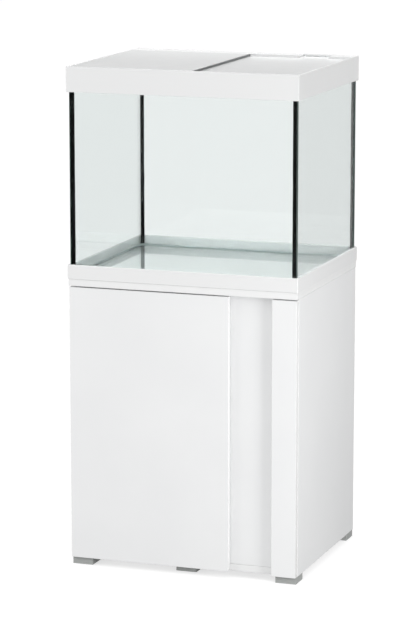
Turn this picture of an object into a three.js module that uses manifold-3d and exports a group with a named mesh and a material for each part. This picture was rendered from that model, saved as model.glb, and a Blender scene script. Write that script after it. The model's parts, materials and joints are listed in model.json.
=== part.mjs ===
// Aquarium on a cabinet: glass tank with base frame, hood with two sliding lids and a lamp bar,
// cabinet with one hinged door. Millimetres, +X to the right, +Y to the back, +Z up.
// Sub-parts are laid out from the front left corner of the hood's outline, on the floor. The outermost
// group moves them so that the origin is at the middle of the outline, on the floor.
import * as THREE from 'three';
import { mergeVertices } from 'three/addons/utils/BufferGeometryUtils.js';
import Module from 'manifold-3d';

// Overall outline
const WIDTH = 610;
const DEPTH = 510;
const HEIGHT = 1282;
const GAP = 0.3;                    // clearance between pieces that rest on each other
const BOND_GAP = 0.1;               // clearance between silicone and glass
const OVERLAP = 1;                  // how far joined blocks run into each other
const CORNER_RADIUS = 2;
const ROUND_SIDES = 24;
const SMALL_SIDES = 12;
const HEX_SIDES = 6;
const ARC_STEPS = 3;                 // on the small corners of turned rings

// Feet
const FOOT_SIZE = 55;
const FOOT_HEIGHT = 17.2;
const FOOT_INSET_X = 4;
const FOOT_FRONT_Y = 11;
const FOOT_BACK_Y = 450;
const MIDDLE_FOOT_X = 278;
const MIDDLE_FOOT_Y = 34;
const FOOT_RIBS = 4;
const FOOT_GROOVE = 0.5;            // depth of the grooves between ribs
const FOOT_GROOVE_HEIGHT = 1;

// Cabinet
const BOARD = 16;                   // side boards, door, pillar, niche board and shelf
const THICK_BOARD = 18;             // top and bottom boards
const CARCASS_INSET = 3;            // side boards in from the outline
const CARCASS_BOTTOM = FOOT_HEIGHT + GAP;
const SLAB_INSET = 2;
const SLAB_BOTTOM = 727;
const SLAB_TOP = SLAB_BOTTOM + THICK_BOARD;
const BACK_THICKNESS = 8;
const FRONT_Y = 4;                  // front faces of door and pillar
const FRONT_BACK_Y = FRONT_Y + BOARD;
const SHADOW_GAP = 3;               // between the top board and the door and pillar
const INNER_LEFT = CARCASS_INSET + BOARD;
const INNER_RIGHT = WIDTH - CARCASS_INSET - BOARD;
const LEFT_SIDE_FRONT_Y = 24;       // leaves the door's corner room to turn
const CARCASS_BACK_Y = DEPTH - CARCASS_INSET;
const NICHE_FRONT_Y = 21.5;
const NICHE_LEFT = 405;
const PILLAR_LEFT = 542;
const PILLAR_RIGHT = 606;
const BOTTOM_BOARD_TOP = CARCASS_BOTTOM + THICK_BOARD;
const CARCASS_TOP = SLAB_BOTTOM - GAP;

// Back board cut-outs
const HOSE_CUTOUT = { x: 305, z: 628, width: 200, height: 110, corner: 27.5 };
const CABLE_CUTOUT = { x: 500, z: 120, radius: 32 };

// Shelf
const SHELF_FRONT_Y = 60;
const SHELF_BACK_Y = 430;
const SHELF_Z = 438;
const PIN_HOLE_ROWS_Y = [100, 390];
const PIN_HOLE_PITCH = 32;
const PIN_HOLES_EACH_WAY = 2;       // spare holes above and below the one in use
const PIN_RADIUS = 2.4;
const PIN_HOLE_RADIUS = 2.6;
const PIN_DEPTH = 8;
const PIN_REACH = 8;
const PIN_COLLAR_RADIUS = 4;
const PIN_COLLAR = 1.2;

// Door and hinges
const DOOR_LEFT = CARCASS_INSET;
const DOOR_RIGHT = 428;
const DOOR_BOTTOM = 18.8;
const DOOR_TOP = SLAB_BOTTOM - SHADOW_GAP;
const HINGE_X = 11.2;
const HINGE_Y = 11.5;
const HINGE_INSET_Z = 100;          // hinge centre from the door's top or bottom edge
const CUP_X = 24;
const CUP_HOLE_RADIUS = 17.5;
const CUP_HOLE_DEPTH = 12.5;
const CUP_RADIUS = 17.2;
const CUP_WALL = 1;
const CUP_FLANGE_RADIUS = 18.5;
const HINGE_PIN_RADIUS = 1.25;
const HINGE_PIN_LENGTH = 13;
const KNUCKLE_RADIUS = 2.4;
const KNUCKLE_BORE = 1.45;
const ARM_WIDTH = 10;
const ARM_THICKNESS = 2;
const ARM_REACH = 17;               // from the pin to the outer face of the long leg
const ARM_LENGTH = 80;
const ARM_BLOCK_START = 33;
const PLATE_THICKNESS = 2.5;
const PLATE_FRONT_Y = 52;
const PLATE_LENGTH = 32;
const PLATE_HEIGHT = 28;
const SCREW_SPREAD = 9.5;           // screw from the hinge's centre line
const SCREW_RADIUS = 1.75;
const SCREW_LENGTH = 12;
const SCREW_HEAD_RADIUS = 3.5;
const SCREW_HEAD = 1.6;
const SCREW_SLOT = { width: 0.8, length: 4, depth: 0.8 };
const SCREW_CLEARANCE = 0.35;
const BUFFER_RADIUS = 4;
const BUFFER_X = 416;
const BUFFER_INSET_Z = 40;

// Cam fasteners that hold the side boards to the top board
const CAM_RADIUS = 7.3;
const CAM_HOLE_RADIUS = 7.6;
const CAM_DEPTH = 11;
const CAM_INSET_Z = 34;
const CAM_ROWS_Y = [80, 440];
const CAM_SLOT = 1.6;

// Tank
const FRAME_TOP = 781.5;
const FRAME_BOTTOM = SLAB_TOP + GAP;
const FRAME_WALL = 5.6;
const FRAME_FLANGE = 3;             // thickness of the flange below the glass
const FRAME_FLANGE_INNER = 30;
const GLASS = 8;
const GLASS_INSET = 6;
const GLASS_BOTTOM = FRAME_BOTTOM + FRAME_FLANGE + GAP;
const GLASS_TOP = 1235;
const JOINT = 1.2;                  // silicone between two panes
const FRONT_BEAD = 4.5;             // leg of the silicone fillet inside a front corner
const BACK_BEAD = 8;
const FLOOR_BEAD = 3;

// Hood
const HOOD_BOTTOM = 1218;
const HOOD_WALL = 4;
const SEAT_THICKNESS = 3;
const SEAT_INNER = 17;
const LID_THICKNESS = 4;
const LID_STEP = 6;                 // between the tops of the two lids
const LID_PLAY = 0.5;               // lid to track, sideways
const UPPER_LID_TOP = HEIGHT - GAP;
const LOWER_LID_TOP = UPPER_LID_TOP - LID_STEP;
const UPPER_LEDGE_TOP = UPPER_LID_TOP - LID_THICKNESS - GAP;
const LOWER_LEDGE_TOP = LOWER_LID_TOP - LID_THICKNESS - GAP;
const UPPER_LEDGE = 5;              // width of the step that carries the upper lid
const LOWER_LEDGE = 7;              // further width of the step that carries the lower lid
const LEDGE_THICKNESS = 4;
const DECK_FRONT_Y = 460;
const DECK_THICKNESS = 4;
const WEB_THICKNESS = 3;
const LID_SEAM_X = 333;
const LID_OVERLAP = 24;
const GRIP_THICKNESS = 4;
const GRIP_DROP = 1.4;              // the edge strip reaches below the upper lid
const NOTCH_WIDTH = 79;
const NOTCH_BACK_Y = 500;
const NOTCH_SEAT = 4;
const LEFT_NOTCH_X = 61.5;
const RIGHT_NOTCH_X = 464;
const LEFT_COVER_TOP = HEIGHT - 1;

// Lamp bar
const LAMP_FRONT_Y = 190;
const LAMP_DEPTH = 60;
const LAMP_BOTTOM = 1242;
const LAMP_HEIGHT = 22;
const LAMP_WALL = 2;
const LAMP_END_CAP = 11.5;
const LAMP_CAP_MARGIN = 2;
const DIFFUSER_THICKNESS = 2.5;
const DIODE_BOARD = { depth: 40, thickness: 2 };
const GLAND_RADIUS = 4.4;
const GLAND_BORE = 2.2;
const GLAND_LENGTH = 16;
const GLAND_TAPER_START = 8;
const GLAND_NUT = { radius: 5, start: 2, length: 4 };

const LOOKS = {
  board: { color: 0xf0f1f1, roughness: 0.35, metalness: 0 },
  plastic: { color: 0xf3f3f3, roughness: 0.28, metalness: 0 },
  lid: { color: 0xeeefef, roughness: 0.22, metalness: 0 },
  strip: { color: 0x8d9090, roughness: 0.45, metalness: 0 },
  glass: { color: 0xdfebe9, roughness: 0.03, metalness: 0, transparent: true, opacity: 0.35 },
  silicone: { color: 0x111515, roughness: 0.5, metalness: 0 },
  clearSilicone: { color: 0xaebab8, roughness: 0.5, metalness: 0 },
  aluminium: { color: 0xa9aca9, roughness: 0.35, metalness: 1 },
  steel: { color: 0xb9bbbd, roughness: 0.3, metalness: 1 },
  diffuser: { color: 0xf6f8fa, roughness: 0.6, metalness: 0 },
  circuit: { color: 0xfafafa, roughness: 0.5, metalness: 0 },
  buffer: { color: 0xe3e6e6, roughness: 0.4, metalness: 0 },
};

const wasm = await Module();
wasm.setup();

// ---- solids -------------------------------------------------------------------------------------------

function toSolid(geometry) {
  const bare = geometry.clone();
  bare.deleteAttribute('normal');
  bare.deleteAttribute('uv');
  const merged = mergeVertices(bare);
  const mesh = new wasm.Mesh({
    numProp: 3,
    vertProperties: new Float32Array(merged.attributes.position.array),
    triVerts: new Uint32Array(merged.index.array),
  });
  return new wasm.Manifold(mesh);
}

function toGeometry(solid) {
  const mesh = solid.getMesh();
  const geometry = new THREE.BufferGeometry();
  geometry.setAttribute('position', new THREE.BufferAttribute(mesh.vertProperties, 3));
  geometry.setIndex(new THREE.BufferAttribute(mesh.triVerts, 1));
  geometry.computeVertexNormals();
  return geometry;
}

function join(...geometries) {
  const joined = geometries.map(toSolid).reduce((all, solid) => all.add(solid));
  return toGeometry(joined);
}

function cut(geometry, ...tools) {
  const left = tools.map(toSolid).reduce((rest, solid) => rest.subtract(solid), toSolid(geometry));
  return toGeometry(left);
}

function intersect(first, second) {
  return toGeometry(toSolid(first).intersect(toSolid(second)));
}

// A block given by its low and high coordinate along each axis.
function block([x0, x1], [y0, y1], [z0, z1]) {
  const geometry = new THREE.BoxGeometry(x1 - x0, y1 - y0, z1 - z0);
  return geometry.translate((x0 + x1) / 2, (y0 + y1) / 2, (z0 + z1) / 2);
}

// A rod along X, Y or Z that starts at the given point.
function rod(axis, [x, y, z], length, radius, sides = SMALL_SIDES) {
  const geometry = new THREE.CylinderGeometry(radius, radius, length, sides);
  geometry.translate(0, length / 2, 0);
  if (axis === 'x') geometry.rotateZ(-Math.PI / 2);
  if (axis === 'z') geometry.rotateX(Math.PI / 2);
  return geometry.translate(x, y, z);
}

function roundedRectangle(path, x0, x1, y0, y1, radius) {
  path.moveTo(x0 + radius, y0);
  path.lineTo(x1 - radius, y0);
  path.absarc(x1 - radius, y0 + radius, radius, -Math.PI / 2, 0);
  path.lineTo(x1, y1 - radius);
  path.absarc(x1 - radius, y1 - radius, radius, 0, Math.PI / 2);
  path.lineTo(x0 + radius, y1);
  path.absarc(x0 + radius, y1 - radius, radius, Math.PI / 2, Math.PI);
  path.lineTo(x0, y0 + radius);
  path.absarc(x0 + radius, y0 + radius, radius, Math.PI, Math.PI * 1.5);
  return path;
}

function rectangle(path, x0, x1, y0, y1) {
  path.moveTo(x0, y0);
  path.lineTo(x1, y0);
  path.lineTo(x1, y1);
  path.lineTo(x0, y1);
  path.closePath();
  return path;
}

// A rectangular ring that follows the outline, between two insets from it.
function ring(outerInset, innerInset, z0, z1, radius = 0) {
  const shape = new THREE.Shape();
  const sides = [outerInset, WIDTH - outerInset, outerInset, DEPTH - outerInset];
  if (radius > 0) {
    roundedRectangle(shape, ...sides, radius);
  } else {
    rectangle(shape, ...sides);
  }
  const hole = [innerInset, WIDTH - innerInset, innerInset, DEPTH - innerInset];
  shape.holes.push(rectangle(new THREE.Path(), ...hole));
  const options = { depth: z1 - z0, bevelEnabled: false, curveSegments: ARC_STEPS };
  return new THREE.ExtrudeGeometry(shape, options).translate(0, 0, z0);
}

function prism(shape, z0, z1, curveSegments = SMALL_SIDES) {
  const options = { depth: z1 - z0, bevelEnabled: false, curveSegments };
  return new THREE.ExtrudeGeometry(shape, options).translate(0, 0, z0);
}

function part(name, look, geometry, place = [0, 0, 0]) {
  const mesh = new THREE.Mesh(geometry, new THREE.MeshStandardMaterial(LOOKS[look]));
  mesh.name = name;
  mesh.position.set(...place);
  return mesh;
}

function group(...children) {
  const holder = new THREE.Group();
  holder.add(...children.flat());
  return holder;
}

// ---- feet ---------------------------------------------------------------------------------------------

function ribbedProfile() {
  const shape = new THREE.Shape();
  const half = FOOT_SIZE / 2;
  const pitch = FOOT_HEIGHT / FOOT_RIBS;
  const right = [[half, 0]];
  for (let rib = 1; rib < FOOT_RIBS; rib += 1) {
    const middle = rib * pitch;
    right.push([half, middle - FOOT_GROOVE_HEIGHT / 2]);
    right.push([half - FOOT_GROOVE, middle - FOOT_GROOVE_HEIGHT / 2]);
    right.push([half - FOOT_GROOVE, middle + FOOT_GROOVE_HEIGHT / 2]);
    right.push([half, middle + FOOT_GROOVE_HEIGHT / 2]);
  }
  right.push([half, FOOT_HEIGHT]);
  const left = right.map(([x, z]) => [-x, z]).reverse();
  shape.setFromPoints([...right, ...left].map(([x, z]) => new THREE.Vector2(x, z)));
  return shape;
}

function footGeometry() {
  const options = { depth: FOOT_SIZE, bevelEnabled: false };
  const along = new THREE.ExtrudeGeometry(ribbedProfile(), options);
  along.translate(0, 0, -FOOT_SIZE / 2).rotateX(Math.PI / 2);
  const across = along.clone().rotateZ(Math.PI / 2);
  return intersect(along, across);
}

function feet() {
  const half = FOOT_SIZE / 2;
  const leftX = FOOT_INSET_X + half;
  const rightX = WIDTH - FOOT_INSET_X - half;
  const places = {
    foot_front_left: [leftX, FOOT_FRONT_Y + half, 0],
    foot_front_right: [rightX, FOOT_FRONT_Y + half, 0],
    foot_back_left: [leftX, FOOT_BACK_Y + half, 0],
    foot_back_right: [rightX, FOOT_BACK_Y + half, 0],
    foot_front_middle: [MIDDLE_FOOT_X + half, MIDDLE_FOOT_Y + half, 0],
  };
  return Object.entries(places).map(([name, place]) => part(name, 'aluminium', footGeometry(), place));
}

// ---- cabinet ------------------------------------------------------------------------------------------

const HINGE_ROWS = { bottom: DOOR_BOTTOM + HINGE_INSET_Z, top: DOOR_TOP - HINGE_INSET_Z };
const SHELF_PIN_Z = SHELF_Z - GAP - PIN_RADIUS;
const CAM_Z = CARCASS_TOP - CAM_INSET_Z;
const SCREW_Y = PLATE_FRONT_Y + PLATE_LENGTH / 2;

// Blind holes on the inner face of a side board: rows for shelf pins, and seats for the cams.
function boardHoles(innerFaceX, inward) {
  const holes = [];
  const hole = (y, z, radius, depth, sides) => {
    const start = inward > 0 ? innerFaceX - depth : innerFaceX - OVERLAP;
    holes.push(rod('x', [start, y, z], depth + OVERLAP, radius, sides));
  };
  for (const y of PIN_HOLE_ROWS_Y) {
    for (let step = -PIN_HOLES_EACH_WAY; step <= PIN_HOLES_EACH_WAY; step += 1) {
      hole(y, SHELF_PIN_Z + step * PIN_HOLE_PITCH, PIN_HOLE_RADIUS, PIN_DEPTH + GAP, SMALL_SIDES);
    }
  }
  for (const y of CAM_ROWS_Y) {
    hole(y, CAM_Z, CAM_HOLE_RADIUS, CAM_DEPTH + GAP, ROUND_SIDES);
  }
  return holes;
}

function screwHoles() {
  const holes = [];
  const start = INNER_LEFT - SCREW_LENGTH - SCREW_CLEARANCE;
  for (const z of Object.values(HINGE_ROWS)) {
    for (const side of [-1, 1]) {
      const from = [start, SCREW_Y, z + side * SCREW_SPREAD];
      holes.push(rod('x', from, SCREW_LENGTH + OVERLAP, SCREW_RADIUS + SCREW_CLEARANCE));
    }
  }
  return holes;
}

function leftSideBoard() {
  const height = [CARCASS_BOTTOM, CARCASS_TOP];
  const board = block([CARCASS_INSET, INNER_LEFT], [LEFT_SIDE_FRONT_Y, CARCASS_BACK_Y], height);
  return part('left_side_board', 'board', cut(board, ...boardHoles(INNER_LEFT, 1), ...screwHoles()));
}

function rightSideBoard() {
  const height = [CARCASS_BOTTOM, CARCASS_TOP];
  const across = [INNER_RIGHT, WIDTH - CARCASS_INSET];
  const board = block(across, [FRONT_BACK_Y + GAP, CARCASS_BACK_Y], height);
  return part('right_side_board', 'board', cut(board, ...boardHoles(INNER_RIGHT, -1)));
}

function backBoard() {
  const shape = rectangle(
    new THREE.Shape(), INNER_LEFT + GAP, INNER_RIGHT - GAP, BOTTOM_BOARD_TOP + GAP, CARCASS_TOP,
  );
  const hose = HOSE_CUTOUT;
  const hoseSides = [
    hose.x - hose.width / 2, hose.x + hose.width / 2, hose.z - hose.height / 2, hose.z + hose.height / 2,
  ];
  shape.holes.push(roundedRectangle(new THREE.Path(), ...hoseSides, hose.corner));
  const cable = new THREE.Path().absarc(CABLE_CUTOUT.x, CABLE_CUTOUT.z, CABLE_CUTOUT.radius, 0, Math.PI * 2);
  shape.holes.push(cable);
  const sheet = prism(shape, 0, BACK_THICKNESS, HEX_SIDES).rotateX(Math.PI / 2);
  return part('back_board', 'board', sheet, [0, CARCASS_BACK_Y - GAP, 0]);
}

function carcass() {
  const between = [INNER_LEFT + GAP, INNER_RIGHT - GAP];
  const slab = [SLAB_INSET, WIDTH - SLAB_INSET];
  const slabDepth = [SLAB_INSET, DEPTH - SLAB_INSET];
  const bottomHeight = [CARCASS_BOTTOM, BOTTOM_BOARD_TOP];
  const nicheDepth = [NICHE_FRONT_Y, NICHE_FRONT_Y + BOARD];
  const nicheHeight = [BOTTOM_BOARD_TOP + GAP, CARCASS_TOP];
  const pillarSides = [PILLAR_LEFT, PILLAR_RIGHT];
  const shelfSides = [INNER_LEFT + PIN_COLLAR + GAP, INNER_RIGHT - PIN_COLLAR - GAP];
  return [
    part('top_board', 'board', block(slab, slabDepth, [SLAB_BOTTOM, SLAB_TOP])),
    part('bottom_board', 'board', block(between, [NICHE_FRONT_Y, CARCASS_BACK_Y], bottomHeight)),
    part('niche_board', 'board', block([NICHE_LEFT, INNER_RIGHT - GAP], nicheDepth, nicheHeight)),
    part('front_pillar', 'board', block(pillarSides, [FRONT_Y, FRONT_BACK_Y], [CARCASS_BOTTOM, DOOR_TOP])),
    part('shelf', 'board', block(shelfSides, [SHELF_FRONT_Y, SHELF_BACK_Y], [SHELF_Z, SHELF_Z + BOARD])),
    leftSideBoard(),
    rightSideBoard(),
    backBoard(),
  ];
}

// A pin lies along +X: the shank sits in the board, the collar on its face, the peg carries the shelf.
function shelfPinGeometry() {
  const profile = [
    [0, -PIN_DEPTH], [PIN_RADIUS, -PIN_DEPTH], [PIN_RADIUS, BOND_GAP], [PIN_COLLAR_RADIUS, BOND_GAP],
    [PIN_COLLAR_RADIUS, PIN_COLLAR], [PIN_RADIUS, PIN_COLLAR], [PIN_RADIUS, PIN_REACH], [0, PIN_REACH],
  ];
  const points = profile.map(([radius, along]) => new THREE.Vector2(radius, along));
  return new THREE.LatheGeometry(points, SMALL_SIDES).rotateZ(-Math.PI / 2);
}

function shelfPins() {
  const pins = [];
  const rows = { front: PIN_HOLE_ROWS_Y[0], back: PIN_HOLE_ROWS_Y[1] };
  for (const [row, y] of Object.entries(rows)) {
    const left = part(`shelf_pin_${row}_left`, 'steel', shelfPinGeometry(), [INNER_LEFT, y, SHELF_PIN_Z]);
    const right = part(`shelf_pin_${row}_right`, 'steel', shelfPinGeometry(), [INNER_RIGHT, y, SHELF_PIN_Z]);
    right.rotation.z = Math.PI;
    pins.push(left, right);
  }
  return pins;
}

// A cam disc with its screwdriver slot, along +X, its face level with the board.
function camGeometry() {
  const disc = rod('x', [-CAM_DEPTH, 0, 0], CAM_DEPTH - GAP, CAM_RADIUS, ROUND_SIDES);
  const width = [-CAM_SLOT / 2, CAM_SLOT / 2];
  const slot = block([-CAM_SLOT - GAP, OVERLAP], width, [-CAM_RADIUS / 2, CAM_RADIUS / 2]);
  return cut(disc, slot);
}

function cams() {
  const discs = [];
  const rows = { front: CAM_ROWS_Y[0], back: CAM_ROWS_Y[1] };
  for (const [row, y] of Object.entries(rows)) {
    const left = part(`cam_${row}_left`, 'steel', camGeometry(), [INNER_LEFT, y, CAM_Z]);
    const right = part(`cam_${row}_right`, 'steel', camGeometry(), [INNER_RIGHT, y, CAM_Z]);
    right.rotation.z = Math.PI;
    discs.push(left, right);
  }
  return discs;
}

function doorBuffers() {
  const thickness = NICHE_FRONT_Y - FRONT_BACK_Y - 2 * BOND_GAP;
  const rows = { bottom: DOOR_BOTTOM + BUFFER_INSET_Z, top: DOOR_TOP - BUFFER_INSET_Z };
  return Object.entries(rows).map(([row, z]) => {
    const disc = rod('y', [0, 0, 0], thickness, BUFFER_RADIUS, ROUND_SIDES);
    return part(`door_buffer_${row}`, 'buffer', disc, [BUFFER_X, FRONT_BACK_Y + BOND_GAP, z]);
  });
}

// ---- door and hinges ----------------------------------------------------------------------------------

function door() {
  const panel = block([DOOR_LEFT, DOOR_RIGHT], [FRONT_Y, FRONT_BACK_Y], [DOOR_BOTTOM, DOOR_TOP]);
  const bores = Object.values(HINGE_ROWS).map((z) => {
    const from = [CUP_X, FRONT_BACK_Y - CUP_HOLE_DEPTH, z];
    return rod('y', from, CUP_HOLE_DEPTH + OVERLAP, CUP_HOLE_RADIUS, 2 * ROUND_SIDES);
  });
  return part('door', 'board', cut(panel, ...bores));
}

// The cup is open to the back, and its flange lies on the door's inner face.
function cupGeometry() {
  const floor = -CUP_HOLE_DEPTH + GAP;
  const inner = CUP_RADIUS - CUP_WALL;
  const profile = [
    [0, floor], [CUP_RADIUS, floor], [CUP_RADIUS, BOND_GAP], [CUP_FLANGE_RADIUS, BOND_GAP],
    [CUP_FLANGE_RADIUS, CUP_WALL], [inner, CUP_WALL], [inner, floor + CUP_WALL], [0, floor + CUP_WALL],
  ];
  const points = profile.map(([radius, along]) => new THREE.Vector2(radius, along));
  return new THREE.LatheGeometry(points, 2 * ROUND_SIDES);
}

// The arm, seen from above with the pin at the origin: knuckle, short leg inside the cup, long leg back
// along the side board, and the thicker block that is clipped to the mounting plate.
function armGeometry() {
  const half = ARM_THICKNESS / 2;
  const tangent = Math.asin(half / KNUCKLE_RADIUS);
  const inside = INNER_LEFT + PLATE_THICKNESS + BOND_GAP + GAP - HINGE_X;
  const shape = new THREE.Shape();
  shape.absarc(0, 0, KNUCKLE_RADIUS, tangent, 2 * Math.PI - tangent);
  shape.lineTo(ARM_REACH, -half);
  shape.lineTo(ARM_REACH, ARM_LENGTH);
  shape.lineTo(inside, ARM_LENGTH);
  shape.lineTo(inside, ARM_BLOCK_START);
  shape.lineTo(ARM_REACH - ARM_THICKNESS, ARM_BLOCK_START - (ARM_REACH - ARM_THICKNESS - inside));
  shape.lineTo(ARM_REACH - ARM_THICKNESS, half);
  shape.holes.push(new THREE.Path().absarc(0, 0, KNUCKLE_BORE, 0, Math.PI * 2));
  return prism(shape, -ARM_WIDTH / 2, ARM_WIDTH / 2);
}

function plateGeometry() {
  const thickness = [BOND_GAP, PLATE_THICKNESS];
  const plate = block(thickness, [0, PLATE_LENGTH], [-PLATE_HEIGHT / 2, PLATE_HEIGHT / 2]);
  const holes = [-1, 1].map((side) => {
    const from = [-OVERLAP, PLATE_LENGTH / 2, side * SCREW_SPREAD];
    return rod('x', from, PLATE_THICKNESS + 2 * OVERLAP, SCREW_RADIUS + SCREW_CLEARANCE);
  });
  return cut(plate, ...holes);
}

// A pan head screw along X, its head's underside at the origin.
function screwGeometry() {
  const head = rod('x', [0, 0, 0], SCREW_HEAD, SCREW_HEAD_RADIUS, ROUND_SIDES);
  const shank = rod('x', [-SCREW_LENGTH, 0, 0], SCREW_LENGTH + SCREW_HEAD / 2, SCREW_RADIUS);
  const { width, length, depth } = SCREW_SLOT;
  const across = [-width / 2, width / 2];
  const slot = block([SCREW_HEAD - depth, SCREW_HEAD + OVERLAP], across, [-length / 2, length / 2]);
  return cut(join(head, shank), slot);
}

function hingeOnDoor(row, z) {
  const pin = rod('z', [0, 0, -HINGE_PIN_LENGTH / 2], HINGE_PIN_LENGTH, HINGE_PIN_RADIUS, ROUND_SIDES);
  return [
    part(`hinge_cup_${row}`, 'steel', cupGeometry(), [CUP_X, FRONT_BACK_Y, z]),
    part(`hinge_pin_${row}`, 'steel', pin, [HINGE_X, HINGE_Y, z]),
  ];
}

function hingeOnBoard(row, z) {
  const headX = INNER_LEFT + PLATE_THICKNESS + BOND_GAP;
  const pieces = [
    part(`hinge_arm_${row}`, 'steel', armGeometry(), [HINGE_X, HINGE_Y, z]),
    part(`hinge_plate_${row}`, 'steel', plateGeometry(), [INNER_LEFT, PLATE_FRONT_Y, z]),
  ];
  const sides = { lower: -1, upper: 1 };
  for (const [side, sign] of Object.entries(sides)) {
    const place = [headX, SCREW_Y, z + sign * SCREW_SPREAD];
    pieces.push(part(`hinge_screw_${row}_${side}`, 'steel', screwGeometry(), place));
  }
  return pieces;
}

// ---- tank ---------------------------------------------------------------------------------------------

const GLASS_INNER = GLASS_INSET + GLASS;

function baseFrame() {
  const wall = ring(0, FRAME_WALL, FRAME_BOTTOM, FRAME_TOP, CORNER_RADIUS);
  const flange = ring(FRAME_WALL - OVERLAP, FRAME_FLANGE_INNER, FRAME_BOTTOM, FRAME_BOTTOM + FRAME_FLANGE);
  return part('base_frame', 'plastic', join(wall, flange));
}

function panes() {
  const height = [GLASS_BOTTOM, GLASS_TOP];
  const across = [GLASS_INSET, WIDTH - GLASS_INSET];
  const along = [GLASS_INNER + JOINT, DEPTH - GLASS_INNER - JOINT];
  const floorAcross = [GLASS_INNER + JOINT, WIDTH - GLASS_INNER - JOINT];
  const right = [WIDTH - GLASS_INNER, WIDTH - GLASS_INSET];
  const back = [DEPTH - GLASS_INNER, DEPTH - GLASS_INSET];
  return [
    part('front_pane', 'glass', block(across, [GLASS_INSET, GLASS_INNER], height)),
    part('back_pane', 'glass', block(across, back, height)),
    part('left_pane', 'glass', block([GLASS_INSET, GLASS_INNER], along, height)),
    part('right_pane', 'glass', block(right, along, height)),
    part('floor_pane', 'glass', block(floorAcross, along, [GLASS_BOTTOM, GLASS_BOTTOM + GLASS])),
  ];
}

// The joint of the front left corner, from above, with the outer corner of the glass at the origin.
function cornerJointOutline(bead) {
  const near = GLASS + BOND_GAP;
  const far = GLASS + JOINT - BOND_GAP;
  return [[BOND_GAP, near], [near + bead, near], [near, near + bead], [near, far], [BOND_GAP, far]];
}

function cornerJoints() {
  const start = GLASS_BOTTOM + GLASS + FLOOR_BEAD + 2 * GAP;
  const length = GLASS_TOP - start;
  const corners = {
    silicone_front_left: [GLASS_INSET, GLASS_INSET, 1, 1, FRONT_BEAD],
    silicone_front_right: [WIDTH - GLASS_INSET, GLASS_INSET, -1, 1, FRONT_BEAD],
    silicone_back_left: [GLASS_INSET, DEPTH - GLASS_INSET, 1, -1, BACK_BEAD],
    silicone_back_right: [WIDTH - GLASS_INSET, DEPTH - GLASS_INSET, -1, -1, BACK_BEAD],
  };
  return Object.entries(corners).map(([name, [x, y, sideX, sideY, bead]]) => {
    const points = cornerJointOutline(bead).map(([u, v]) => new THREE.Vector2(u * sideX, v * sideY));
    return part(name, 'silicone', prism(new THREE.Shape(points), 0, length), [x, y, start]);
  });
}

// The clear bead fills the joint round the floor pane and steps up into the corner above it.
function floorSilicone() {
  const outer = GLASS_INNER + BOND_GAP;
  const floorTop = GLASS_BOTTOM + GLASS + BOND_GAP;
  const joint = ring(outer, outer + JOINT - 2 * BOND_GAP, GLASS_BOTTOM, floorTop + OVERLAP);
  const foot = ring(outer, outer + FLOOR_BEAD, floorTop, floorTop + FLOOR_BEAD / 2);
  const heel = ring(outer, outer + FLOOR_BEAD / 2, floorTop, floorTop + FLOOR_BEAD);
  return part('floor_silicone', 'clearSilicone', join(joint, foot, heel));
}

// ---- hood ---------------------------------------------------------------------------------------------

const TRACK_FRONT = HOOD_WALL + UPPER_LEDGE;
const TRACK_BACK = DECK_FRONT_Y - UPPER_LEDGE;
const RIGHT_COVER_TOP = LOWER_LID_TOP - BOND_GAP;

function tracks() {
  const across = [HOOD_WALL - OVERLAP, WIDTH - HOOD_WALL + OVERLAP];
  const wall = HOOD_WALL - OVERLAP;
  const upper = [LOWER_LEDGE_TOP - OVERLAP, UPPER_LEDGE_TOP];
  const lower = [LOWER_LEDGE_TOP - LEDGE_THICKNESS, LOWER_LEDGE_TOP];
  const web = [DECK_FRONT_Y, DECK_FRONT_Y + WEB_THICKNESS];
  const webHeight = [LOWER_LEDGE_TOP - LEDGE_THICKNESS, HEIGHT - OVERLAP];
  return [
    block(across, [wall, TRACK_FRONT], upper),
    block(across, [wall, TRACK_FRONT + LOWER_LEDGE], lower),
    block(across, [TRACK_BACK, DECK_FRONT_Y + OVERLAP], upper),
    block(across, [TRACK_BACK - LOWER_LEDGE, DECK_FRONT_Y + OVERLAP], lower),
    block(across, web, webHeight),
    block(across, [DECK_FRONT_Y, DEPTH - HOOD_WALL + OVERLAP], [HEIGHT - DECK_THICKNESS, HEIGHT]),
  ];
}

// Two hangers under the deck carry a cover plate by its short sides.
function coverSeats(notchX, coverTop) {
  const seatTop = coverTop - LID_THICKNESS - GAP;
  const height = [seatTop - LEDGE_THICKNESS, seatTop];
  const hanger = [seatTop - LEDGE_THICKNESS, HEIGHT - OVERLAP];
  const depth = [DECK_FRONT_Y + OVERLAP, NOTCH_BACK_Y];
  const right = notchX + NOTCH_WIDTH;
  return [
    block([notchX - NOTCH_SEAT, notchX], depth, hanger),
    block([right, right + NOTCH_SEAT], depth, hanger),
    block([notchX - NOTCH_SEAT, notchX + NOTCH_SEAT], depth, height),
    block([right - NOTCH_SEAT, right + NOTCH_SEAT], depth, height),
  ];
}

function hoodFrame() {
  const apron = ring(0, HOOD_WALL, HOOD_BOTTOM, HEIGHT, CORNER_RADIUS);
  const seatZ = GLASS_TOP + GAP;
  const seat = ring(HOOD_WALL - OVERLAP, SEAT_INNER, seatZ, seatZ + SEAT_THICKNESS);
  const notches = [[LEFT_NOTCH_X, LEFT_COVER_TOP], [RIGHT_NOTCH_X, RIGHT_COVER_TOP]].map(([x, coverTop]) => {
    const height = [coverTop - LID_THICKNESS - GAP, HEIGHT + OVERLAP];
    return block([x, x + NOTCH_WIDTH], [TRACK_BACK - GAP, NOTCH_BACK_Y], height);
  });
  const body = cut(join(apron, seat, ...tracks()), ...notches);
  const seats = [...coverSeats(LEFT_NOTCH_X, LEFT_COVER_TOP), ...coverSeats(RIGHT_NOTCH_X, RIGHT_COVER_TOP)];
  return part('hood_frame', 'plastic', join(body, ...seats));
}

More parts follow.
